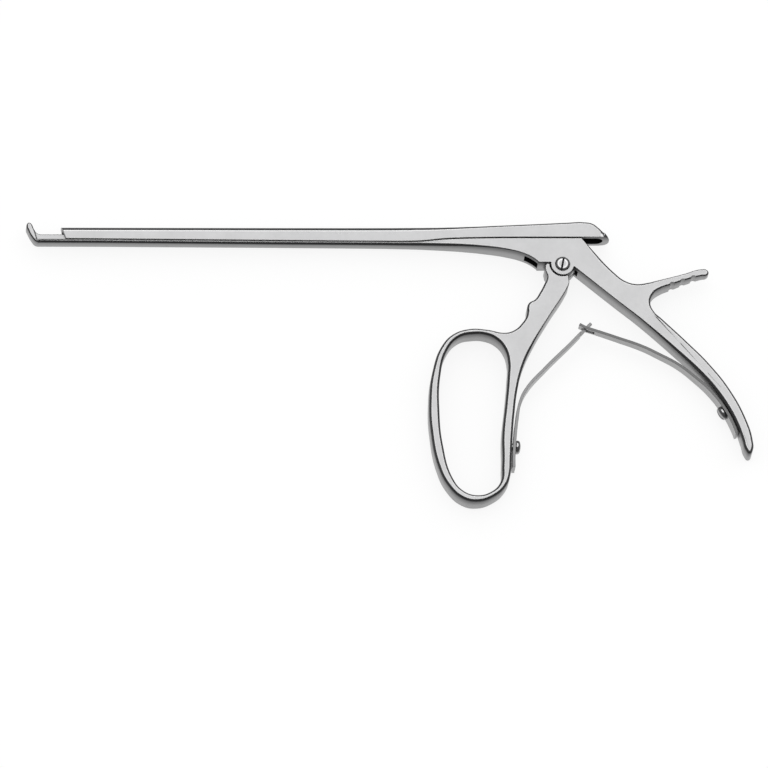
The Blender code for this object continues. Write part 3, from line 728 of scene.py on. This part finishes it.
def steel(name, groups, tones, edge, feel, turn):
    """Brushed steel: bright faces, walls and rims in painted shade, painted glints, grain one way.

    The feel is its roughness, the depth of its grain and its mottling.
    """
    face, strip, wall, shade, rim, glint = tones
    roughness, grain, mottling = feel
    made = bpy.data.materials.new(name)
    made.use_nodes = True
    made.diffuse_color = (*face, 1.0)
    nodes = made.node_tree
    where = node(nodes, "ShaderNodeTexCoord").outputs["Object"]
    turned_way = node(nodes, "ShaderNodeMapping", {
        "Vector": where, "Rotation": (0, 0, math.radians(turn))})

    def placed(key, values):
        return node(nodes, "ShaderNodeGroup", values, node_tree=groups[key]).outputs

    lines = placed("grain", {"Vector": turned_way, "Lines": 2600.0, "Stretch": 0.03})
    cloud = placed("mottling", {"Vector": where, "Scale": 90.0, "Amount": mottling})
    hair = placed("scratches", {"Vector": turned_way, "Scale": 160.0, "Width": 0.012})
    soft = node(nodes, "ShaderNodeBevel", {"Radius": edge}, samples=6)
    lean = node(nodes, "ShaderNodeVectorTransform", {0: soft}, vector_type="NORMAL",
                convert_from="WORLD", convert_to="OBJECT")
    sides = placed("sides", {"Normal": lean, "Place": where})
    # Painted shade on the shaft under the slide and on the walls, darker towards their top; then
    # painted dark rims and painted highlights.
    broad = tinted(nodes, sides["Strip"], face, strip)
    walls = tinted(nodes, sides["Shade"], wall, shade)
    wall_shaded = tinted(nodes, sides["Wall"], broad, walls)
    rimmed = tinted(nodes, sides["Rim"], wall_shaded, rim)
    glinting = tinted(nodes, sides["Glint"], rimmed, glint)
    clouded = node(nodes, "ShaderNodeVectorMath", {0: glinting, "Scale": cloud["Factor"]},
                   operation="SCALE")
    rough = spread(nodes, lines["Mask"], 0.0, 1.0, roughness - 0.05, roughness + 0.05)
    marks = maths(nodes, "MULTIPLY_ADD", hair["Mask"], 0.10, rough)
    duller = maths(nodes, "MULTIPLY_ADD", cloud["Mask"], 0.08, marks)
    height = maths(nodes, "MULTIPLY_ADD", hair["Mask"], -0.4, lines["Height"])
    bump = node(nodes, "ShaderNodeBump", {
        "Strength": grain, "Distance": 0.00002, "Height": height})
    fill(nodes, nodes.nodes["Principled BSDF"], {
        "Metallic": 1.0, "Base Color": clouded, "Roughness": duller, "Normal": bump})


def make_finishes(finish):
    """Build the shared node groups and every steel, once."""
    groups = {"grain": grain_group(), "mottling": mottling_group(), "scratches": scratch_group(),
              "sides": sides_group()}
    face, strip, wall, shade, rim, glint, spring, leaf, screw, dark = (
        tuple(getattr(finish, tone)) for tone in (
            "face", "strip", "wall", "shade", "rim", "glint", "spring", "leaf", "screw", "recess"))
    rough, grain, cloud = finish.roughness, finish.grain, finish.mottling
    satin, walls = (rough, grain, cloud), (wall, shade, rim, glint)
    steel("satin_steel_body", groups, (face, strip, *walls), 0.0006, satin, 0)
    steel("satin_steel_slide", groups, (face, face, *walls), 0.0004, (rough - 0.03, grain, cloud),
          0)
    steel("satin_steel_ring", groups, (face, face, *walls), 0.0006, satin, -70)
    # The blades get the painted dark rims; the front blade's edges take the walls' painted shade
    # tone.
    for name, thin, turn in (("front", wall, -48), ("rear", leaf, 35)):
        steel("tempered_" + name + "_spring", groups, (thin, thin, spring, spring, rim, spring),
              0.0003, satin, turn)
    # The screw heads get the walls' painted shade, a painted dark ring in the upper walls' tone and
    # painted highlights.
    steel("polished_screw", groups, (screw, screw, wall, wall, shade, glint), 0.0002,
          (0.18, grain * 0.5, cloud * 0.5), 0)
    # Near black steel for the faces inside slots and channels: painted shade.
    steel("painted_recess_shade", groups, [dark] * 6, 0.0002, (0.5, grain, cloud), 0)


def finish_of(name):
    """A steel that is built on first use."""
    if name not in bpy.data.materials:
        make_finishes(bpy.context.scene.punch_finish)
    return bpy.data.materials[name]


# Pieces

def plan_solid(rear, width):
    """Shaft plan seen from above, tall enough to trim a side view."""
    side, whole = (width - THICK) / 2 / MM, 2 * MIDDLE / MM
    lower, upper = [(PLAN_FRONT, -side)], [(PLAN_FRONT, whole + side)]
    for point in SHAFT_PLAN:
        lower.append(point)
        upper.append((point[0], whole - point[1], *point[2:]))
    outline = tuple(lower) + tuple(rear) + tuple(reversed(upper))
    return lay_in_plan(plate("shaft_plan", outline, -0.12, 0.12))


def edge_place(at, out):
    """Middle of a spring screw's place on a handle's edge, and the way out of it."""
    return Vector((at[0] * MM, at[1] * MM, MIDDLE)), Vector((out[0], out[1], 0)).normalized()


def screw_bore(at, out):
    """Blind hole for a spring screw, square to the handle's edge."""
    spot, way = edge_place(at, out)
    return rod(SPRING_BORE, spot - way * 0.0019, spot + way * 0.003)


class PUNCH_OT_frame(bpy.types.Operator):
    """Shaft bar, footplate, rail, body, rear handle and grooved prong in one piece"""

    bl_idname = "punch.frame"
    bl_label = "Frame"

    def execute(self, context):
        sizes = context.scene.punch_sizes
        outline = (FOOTPLATE + BAR_TOP + PRONG + REAR_HANDLE
                   + arc(EAR_OUTLINE, -15.2, -180, 28) + BAR_UNDERSIDE)
        piece = plate("punch_frame", outline, -PAST, THICK + PAST)
        rear = ((PLAN_REAR, 0), (PLAN_REAR, THICK / MM))
        combine(piece, plan_solid(rear, sizes.shaft_width), "INTERSECT")
        for low, way in ((0, 1), (THICK / MM, -1)):
            outside = low - way * 2
            wedge = ((PRONG_ROOT, outside), (PRONG_ROOT, low),
                     (PRONG_END, low + way * PRONG_TAPER), (PRONG_END, outside))
            cut(piece, lay_in_plan(plate("prong_taper", wedge, -0.0125, 0.0125)))
        weld(piece.data)
        body, back = sizes.body_rounding, sizes.back_rounding
        shaft, ring, tip = sizes.shaft_rounding, sizes.ring_rounding, sizes.tip_rounding

        def width_at(spot):
            # Footplate
            if spot.x < -0.2043:
                return tip
            # Shaft, rounded under its middle line only
            if spot.x < -0.014:
                low = spot.y < 0.0094 + max(0, -0.062 - spot.x) * 0.0072
                return body + (shaft - body) * pull(spot.x, -0.014, -0.050) * low
            # Body, rounded more along its upper back edge, and the prong
            if spot.y > -0.020:
                over = spot.y > 6.5 * MM - 0.9 * spot.x
                if spot.x > 0.030:
                    over = 1 - 0.7 * pull(spot.x, 0.030, 0.040)
                return body + (back - body) * pull(spot.x, 0.007, 0.016) * over
            # Rear handle, from the body's edges to a rounded end
            outer = pull(spot.x + 0.93 * (spot.y + 0.0225), 0.0325, 0.0345)
            handle = body + (back - body) * outer
            return handle + (ring - handle) * pull(spot.y, -0.014, -0.045)

        round_edges(piece, width_at, WIDEST)
        rail = plate("rail", RAIL, MIDDLE - RAIL_HALF, MIDDLE + RAIL_HALF)
        combine(piece, rail, "UNION")
        half = sizes.tongue / 2 + sizes.tongue_gap
        low, high = MIDDLE - half, MIDDLE + half
        first, last = Vector(GROOVE_FIRST) * MM, Vector(GROOVE_LAST) * MM
        step = (last - first) / max(sizes.groove_count - 1, 1)
        grooves = grow("finger_grooves", groove_tree(), {
            "Count": sizes.groove_count, "First": first, "Step": step,
            "Radius": sizes.groove_radius, "Depth": THICK + 2 * MM})
        cut(piece, across(TONGUE_SLOT, half), across(LEVER_SLOT, half),
            pin(DISC_ROOM, low, high, 72), pin(sizes.bore, -PAST, THICK + PAST),
            pin(HEAD_ROOM, THICK - HEAD_SINK, THICK + PAST, 64), grooves,
            screw_bore(*REAR_SCREW))
        # The slots for the tongue and lever, and the bore, get near black painted shade.
        stand_for(piece, "frame", "frame_body", finish_of("satin_steel_body"), (
            within((-0.016, -0.004, low - WELD), (0.008, 0.0125, high + WELD)),
            within((-0.003, -0.003, -PAST), (0.003, 0.003, THICK + PAST))))
        return {"FINISHED"}


class PUNCH_OT_slide(bpy.types.Operator):
    """Sliding bar with its groove, tip cup, lever pocket and rear channel"""

    bl_idname = "punch.slide"
    bl_label = "Slide"

    def execute(self, context):
        sizes = context.scene.punch_sizes
        piece = plate("punch_slide", SLIDE_SIDE, -PAST, THICK + PAST)
        combine(piece, plan_solid(SLIDE_NOSE_PLAN, sizes.shaft_width), "INTERSECT")
        weld(piece.data)
        widest = sizes.slide_rounding

        def width_at(spot):
            if spot.y < 0.0135 or spot.x < -0.193:
                return 0
            return widest * (1 - 0.5 * pull(spot.x, -0.070, -0.020))

        round_edges(piece, width_at, widest)
        middle = MIDDLE / MM
        bend = [(CHANNEL_END + x, middle + y) for x, y in arc(CHANNEL_RADIUS, -90, 90, 30)]
        outline = ((CHANNEL_START, middle - CHANNEL_RADIUS), *bend,
                   (CHANNEL_START, middle + CHANNEL_RADIUS))
        channel = lay_in_plan(plate("rear_channel", outline, -0.0142, 0.0))
        half = sizes.tongue / 2 + sizes.tongue_gap
        cut(piece, across(RAIL_GROOVE, 0.002), across(TIP_CUP, 0.0019),
            across(LEVER_POCKET, half), channel)
        # The rear channel gets near black painted shade.
        stand_for(piece, "slide", "slide_body", finish_of("satin_steel_slide"), (
            within((0.002, 0.0112, 0.0015), (0.0166, 0.017, 0.0075)),))
        return {"FINISHED"}


class PUNCH_OT_ring_handle(bpy.types.Operator):
    """Finger ring, neck and shoulder with the thin tongue and lever inside the body"""

    bl_idname = "punch.ring_handle"
    bl_label = "Ring Handle"

    def execute(self, context):
        sizes = context.scene.punch_sizes
        outline = RING_FRONT + RING_OUTER + RING_BACK + arc(SHOULDER_OUTLINE, -63.5, -176, 24)
        piece = plate("punch_ring_handle", outline, 0, THICK)
        body, back, ring = sizes.body_rounding, sizes.back_rounding, sizes.ring_rounding

        def width_at(spot):
            # Front of the neck, rounded more than its back, then the ring
            front = pull(spot.x - 0.5 * spot.y, 0.0015, -0.0005) * pull(spot.y, -0.003, -0.008)
            neck = body + (back - body) * 0.8 * front
            return neck + (ring - neck) * pull(spot.y, -0.022, -0.040)

        round_edges(piece, width_at, WIDEST)
        combine(piece, flared_hole("ring_hole", RING_HOLE, ring), "DIFFERENCE", "MANIFOLD")
        low, high = MIDDLE - sizes.tongue / 2, MIDDLE + sizes.tongue / 2
        combine(piece, pin(DISC, low, high, 72), "UNION")
        lean = math.radians(LEVER_LEAN)
        along = Vector((math.sin(lean), math.cos(lean)))
        side = Vector((along.y, -along.x))
        tip, base = along * LEVER_TIP, along * LEVER_ROOT
        corners = (base - side * LEVER_ROOT_HALF, tip - side * LEVER_TIP_HALF,
                   tip + side * LEVER_TIP_HALF, base + side * LEVER_ROOT_HALF)
        combine(piece, plate("lever", corners, low, high), "UNION")
        combine(piece, pin(LEVER_NOSE, low, high, at=tip * MM), "UNION")
        cut(piece, pin(sizes.bore, -PAST, THICK + PAST), screw_bore(*FRONT_SCREW))
        stand_for(piece, "ring_handle", "handle_body", finish_of("satin_steel_ring"))
        return {"FINISHED"}


def turned(name, profile):
    """Closed solid turned about Z from a half profile in metres that runs from top to bottom."""
    mesh = bpy.data.meshes.new(name)
    mesh.from_pydata([(x, 0, z) for x, z in profile], [(i, i + 1) for i in range(len(profile) - 1)],
                     [])
    made = add_piece(name, mesh)
    turn = made.modifiers.new("turned", "SCREW")
    turn.axis = "Z"
    turn.steps = turn.render_steps = 72
    turn.use_merge_vertices = True
    turn.merge_threshold = WELD
    settle(made)
    weld(made.data)
    return made


def dome(radius, bottom, top, lip):
    """Half profile of a domed head from its crown down to its lip and seat."""
    points = []
    for step in range(8):
        angle = math.radians(90) * step / 8
        points.append((radius * math.sin(angle), lip + (top - lip) * math.cos(angle) ** 0.8))
    return points + [(radius, lip), (radius, bottom + (lip - bottom) * 0.25),
                     (radius * 0.96, bottom)]


def slotted(name, profile, top, turn=0):
    """Turned screw with a slot across its head, the slot turned by some radians."""
    half = bpy.context.scene.punch_sizes.screw_slot / 2
    piece = turned(name, profile)
    slot = block((-0.004, -half, top - SLOT_DEPTH), (0.004, half, top + PAST))
    slot.data.transform(Matrix.Rotation(turn, 4, "Z"))
    cut(piece, slot)
    return piece


def add_thread(name, radius, low, high, place, body, surface):
    """Thread wound on a shank between two heights, moved to its place."""
    sizes = bpy.context.scene.punch_sizes
    ridge, pitch = sizes.thread_ridge, sizes.thread_pitch
    turns = (high - low - 2 * ridge) / pitch
    piece = grow(name, thread_tree(), {
        "Radius": radius - ridge * 0.45, "Pitch": pitch, "Turns": turns, "Ridge": ridge * 0.5,
        "Material": surface})
    piece.data.transform(place @ Matrix.Translation((0, 0, low + ridge)))
    weld(piece.data)
    dress(piece, surface)
    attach(piece, body)


class PUNCH_OT_screws(bpy.types.Operator):
    """Domed pivot screw and the two spring screws, with their slots and threads"""

    bl_idname = "punch.screws"
    bl_label = "Screws"

    def execute(self, context):
        sizes = context.scene.punch_sizes
        surface = finish_of("polished_screw")
        radius, half = sizes.head_radius, sizes.screw_slot / 2
        top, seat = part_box("pivot_screw")[1].z, THICK - SEAT_GAP
        profile = dome(radius, seat, top, THICK + 0.0001)
        profile += [(PIVOT_SHANK, seat), (PIVOT_SHANK, 0.0002), (0.00155, 0), (0, 0)]
        tilt = math.radians(SLOT_TURN)
        piece = slotted("punch_pivot_screw", profile, top, tilt)
        side = Vector((-math.sin(tilt), math.cos(tilt), 0))
        # The slot across the head gets near black painted shade.
        stand_for(piece, "pivot_screw", "frame_body", surface, (
            lambda spot: spot.z > THICK and abs(spot.dot(side)) < half + WELD,))
        add_thread("punch_pivot_thread", PIVOT_SHANK, 0.0002, 0.0024,
                   Matrix.Identity(4), "frame_body", surface)
        seat = SEAT_GAP + sizes.blade_thickness + SEAT_GAP
        top = seat + HEAD_HEIGHT
        for name, at, body in (("front_spring_screw", FRONT_SCREW, "handle_body"),
                               ("rear_spring_screw", REAR_SCREW, "frame_body")):
            profile = dome(radius, seat, top, seat + 0.0005)
            profile += [(SPRING_SHANK, seat), (SPRING_SHANK, -SHANK_DEPTH), (0.0013, -0.0016),
                        (0, -0.0016)]
            piece = slotted("punch_" + name, profile, top)
            spot, way = edge_place(*at)
            place = Matrix.Translation(spot) @ way.to_track_quat("Z", "Y").to_matrix().to_4x4()
            piece.data.transform(place)
            stand_for(piece, name, body, surface)
            add_thread("punch_" + name + "_thread", SPRING_SHANK, -SHANK_DEPTH, 0.0, place,
                       body, surface)
        return {"FINISHED"}


def blade_piece(name, path, screw, sizes):
    """Spring blade swept along its path, with its screw hole; its edges are rounded later."""
    drawn = drawn_curve(name, path, False, 24)
    for knot, point in zip(drawn.data.splines[0].bezier_points, path):
        knot.radius = point[2]
    piece = grow(name, blade_tree(), {
        "Path": drawn, "Width": sizes.blade_width, "Thickness": sizes.blade_thickness,
        "Middle": MIDDLE, "Points": 90})
    bpy.data.objects.remove(drawn)
    weld(piece.data)
    spot, way = edge_place(*screw)
    cut(piece, rod(SPRING_HOLE, spot, spot + way * 0.004))
    return piece


def bend_piece(piece, node_name):
    """Round the edges of a blade clamped at its root, finish it and hide its imported node."""
    step = piece.modifiers.new("rounded_edges", "BEVEL")
    step.width = 0.00018
    step.segments = 3
    step.limit_method = "ANGLE"
    step.angle_limit = math.radians(50)
    step.use_clamp_overlap = True
    settle(piece)
    dress(piece, finish_of("tempered_" + node_name))
    settle(piece)
    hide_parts(node_name)
    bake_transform(piece)


class PUNCH_OT_springs(bpy.types.Operator):
    """Two leaf springs that cross, the narrow end of one through the slot of the other"""

    bl_idname = "punch.springs"
    bl_label = "Springs"

    def execute(self, context):
        sizes = context.scene.punch_sizes
        front = blade_piece("punch_front_spring", FRONT_BLADE, FRONT_SCREW, sizes)
        # The front blade's end is narrowed from both sides, to pass through the rear one's slot
        for side in (-1, 1):
            inner, outer = MIDDLE + side * 0.00075, MIDDLE + side * 0.0065
            cut(front, block((0.0063, -0.030, min(inner, outer)), (0.030, 0, max(inner, outer))))
        bend_piece(front, "front_spring")
        rear = blade_piece("punch_rear_spring", REAR_BLADE, REAR_SCREW, sizes)
        cut(rear, across(BLADE_SLOT, 0.001))
        bend_piece(rear, "rear_spring")
        return {"FINISHED"}


def floor_finish(color):
    """Pale floor that keeps its shadow and shows white where nothing shades it.

    The lift is seen by camera, glossy and glass rays alone, and lights nothing.
    """
    made = bpy.data.materials.new("floor_paper")
    made.use_nodes = True
    nodes = made.node_tree
    path = node(nodes, "ShaderNodeLightPath").outputs
    seen = maths(nodes, "MAXIMUM", path["Is Camera Ray"], path["Is Glossy Ray"])
    seen = maths(nodes, "MAXIMUM", seen, path["Is Transmission Ray"])
    fill(nodes, nodes.nodes["Principled BSDF"], {
        "Base Color": (*color, 1.0), "Roughness": 0.9, "Specular IOR Level": 0.0,
        "Emission Strength": maths(nodes, "MULTIPLY", seen, 0.845),
        "Emission Color": (1, 1, 1, 1)})
    return made


def studio_world(strength):
    """White studio: one soft light that goes round from the front over the top to the back."""
    world = bpy.data.worlds.new("studio")
    world.use_nodes = True
    nodes = world.node_tree
    nodes.nodes.clear()
    where = node(nodes, "ShaderNodeTexCoord").outputs["Generated"]
    parts = node(nodes, "ShaderNodeSeparateXYZ", {0: where}).outputs
    front = maths(nodes, "MULTIPLY", parts["Y"], -1.0)
    turn = maths(nodes, "DIVIDE", maths(nodes, "ARCTAN2", parts["Z"], front), math.pi)
    ramp = node(nodes, "ShaderNodeValToRGB", {0: turn})
    stops = ((0.0, 0.45), (0.12, 0.50), (0.22, 0.55), (0.34, 0.70), (0.50, 1.0), (0.64, 0.95),
             (0.76, 1.25), (0.88, 1.6), (0.95, 0.8), (1.0, 0.45))
    marks = ramp.color_ramp.elements
    for place, _ in stops[1:-1]:
        marks.new(place)
    for mark, (place, value) in zip(marks, stops):
        mark.color = (value, value, value, 1)
    light = node(nodes, "ShaderNodeBackground", {"Color": ramp, "Strength": strength})
    white = node(nodes, "ShaderNodeBackground", {"Color": (1, 1, 1, 1), "Strength": 1.0})
    path = node(nodes, "ShaderNodeLightPath")
    mix = node(nodes, "ShaderNodeMixShader", {
        0: path.outputs["Is Camera Ray"], 1: light, 2: white})
    node(nodes, "ShaderNodeOutputWorld", {"Surface": mix})
    bpy.context.scene.world = world


class PUNCH_OT_stage(bpy.types.Operator):
    """Plain pale floor, soft studio light and the camera at the photograph's angle"""

    bl_idname = "punch.stage"
    bl_label = "Stage"

    def execute(self, context):
        stage = context.scene.punch_stage
        context.scene.view_settings.view_transform = "Standard"
        half = stage.floor_size / 2
        mesh = bpy.data.meshes.new("floor")
        mesh.from_pydata([(-half, -half, 0), (half, -half, 0), (half, half, 0), (-half, half, 0)],
                         [], [(0, 1, 2, 3)])
        floor = add_piece("floor", mesh)
        mesh.materials.append(floor_finish(tuple(stage.floor)))
        studio_world(stage.sky)
        right, up = Vector(CAMERA_RIGHT), Vector(CAMERA_UP)
        back = right.cross(up).normalized()
        up = back.cross(right).normalized()
        data = bpy.data.cameras.new("camera")
        data.lens = stage.lens
        data.sensor_width = 36.0
        data.clip_start, data.clip_end = 0.1, 50
        camera = add_piece("camera", data)
        place = Vector(CAMERA_TARGET) * MM + back * (stage.across * stage.lens / data.sensor_width)
        turn = Matrix((right, up, back)).transposed().to_4x4()
        camera.matrix_world = Matrix.Translation(place) @ turn
        context.scene.camera = camera
        return {"FINISHED"}


class PUNCH_PT_panel(bpy.types.Panel):
    """Buttons and settings of the punch"""

    bl_idname = "PUNCH_PT_panel"
    bl_label = "Laminectomy Punch"
    bl_space_type = "VIEW_3D"
    bl_region_type = "UI"
    bl_category = "Punch"

    def draw(self, context):
        layout = self.layout
        for group in (context.scene.punch_sizes, context.scene.punch_finish,
                      context.scene.punch_stage):
            box = layout.box()
            for key in group.__annotations__:
                box.prop(group, key)
        for operator in OPERATORS:
            layout.operator(operator.bl_idname)


OPERATORS = (PUNCH_OT_frame, PUNCH_OT_slide, PUNCH_OT_ring_handle, PUNCH_OT_screws,
             PUNCH_OT_springs, PUNCH_OT_stage)
GROUPS = (("punch_sizes", PunchSizes), ("punch_finish", PunchFinish), ("punch_stage", PunchStage))


def register():
    """Add the classes and the settings on the scene."""
    for name, group in GROUPS:
        bpy.utils.register_class(group)
        setattr(bpy.types.Scene, name, bpy.props.PointerProperty(type=group))
    for item in (*OPERATORS, PUNCH_PT_panel):
        bpy.utils.register_class(item)


def unregister():
    """Take the classes and the settings away again."""
    for item in (PUNCH_PT_panel, *reversed(OPERATORS)):
        bpy.utils.unregister_class(item)
    for name, group in reversed(GROUPS):
        delattr(bpy.types.Scene, name)
        bpy.utils.unregister_class(group)


def main():
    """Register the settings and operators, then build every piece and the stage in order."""
    register()
    bpy.ops.punch.frame()
    bpy.ops.punch.slide()
    bpy.ops.punch.ring_handle()
    bpy.ops.punch.screws()
    bpy.ops.punch.springs()
    bpy.ops.punch.stage()


if __name__ == "__main__":
    main()
